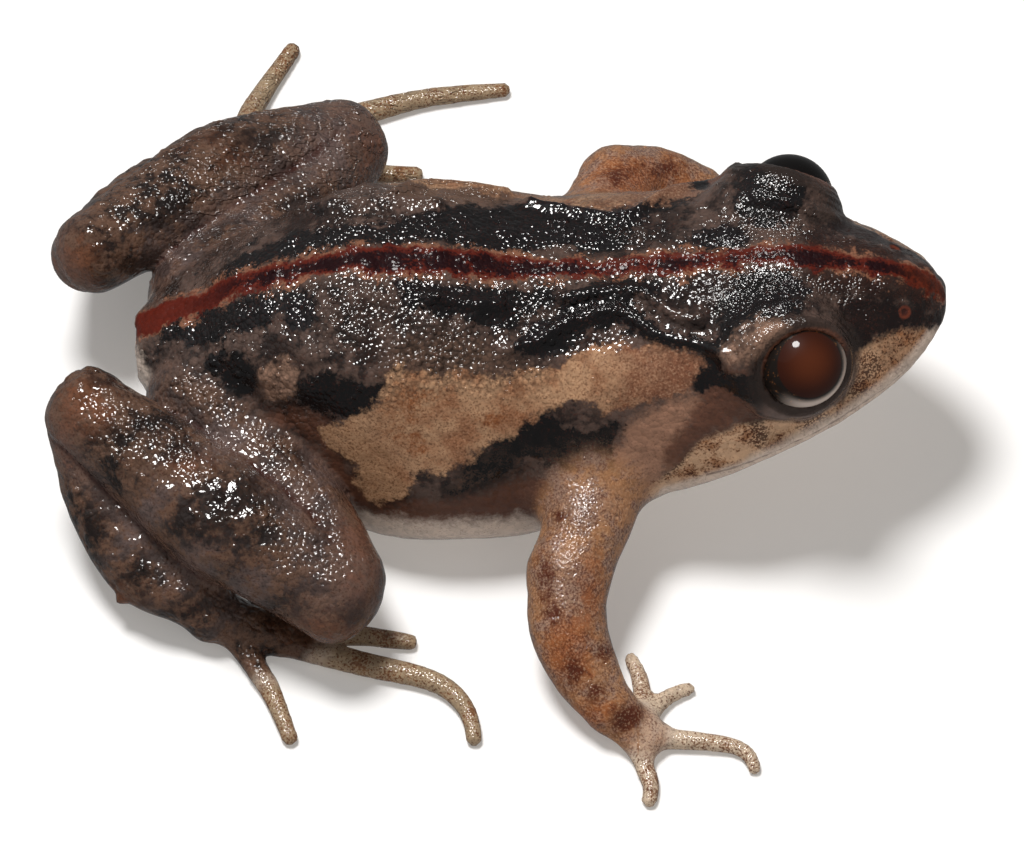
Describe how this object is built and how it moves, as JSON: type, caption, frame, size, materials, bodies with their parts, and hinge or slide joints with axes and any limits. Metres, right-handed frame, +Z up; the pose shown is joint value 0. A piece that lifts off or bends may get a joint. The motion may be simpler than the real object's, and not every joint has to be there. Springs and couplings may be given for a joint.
{
  "type": "dwarf swamp frog model",
  "caption": "Life-size still model of a small swamp frog, Pseudopaludicola florencei, sitting with its head raised and hind legs folded.",
  "frame": {"origin": "on the floor under the middle of the animal's box", "axes": "+X forward to the snout, +Y to the frog's left, +Z up"},
  "size_m": [0.0166, 0.0172, 0.0054],
  "materials": {
    "back_skin": "wet, finely warty skin, dark brown and black with a maroon stripe",
    "leg_skin": "wet skin, dark brown with black bars",
    "arm_skin": "wet skin, orange-brown with fine dark specks",
    "digit_skin": "moist skin, pale tan with orange-brown spots",
    "throat_skin": "smooth moist skin, pale",
    "eye_dark": "wet gloss, dark brown"
  },
  "bodies": {
    "root": {"torso": "back_skin", "head": "back_skin", "lower_jaw": "throat_skin", "eye_right": "eye_dark", "eye_left": "eye_dark", "thigh_right": "leg_skin", "shank_right": "leg_skin", "tarsus_right": "leg_skin", "foot_right": "leg_skin", "toe_1_right": "digit_skin", "toe_2_right": "digit_skin", "toe_3_right": "digit_skin", "toe_4_right": "digit_skin", "toe_5_right": "digit_skin", "upper_arm_right": "arm_skin", "forearm_right": "arm_skin", "hand_right": "arm_skin", "finger_1_right": "digit_skin", "finger_2_right": "digit_skin", "finger_3_right": "digit_skin", "finger_4_right": "digit_skin", "thigh_left": "leg_skin", "shank_left": "leg_skin", "tarsus_left": "leg_skin", "foot_left": "leg_skin", "toe_1_left": "digit_skin", "toe_2_left": "digit_skin", "toe_3_left": "digit_skin", "toe_4_left": "digit_skin", "toe_5_left": "digit_skin", "upper_arm_left": "arm_skin", "forearm_left": "arm_skin", "hand_left": "arm_skin", "finger_1_left": "digit_skin", "finger_2_left": "digit_skin", "finger_3_left": "digit_skin", "finger_4_left": "digit_skin"}
  },
  "joints": []
}
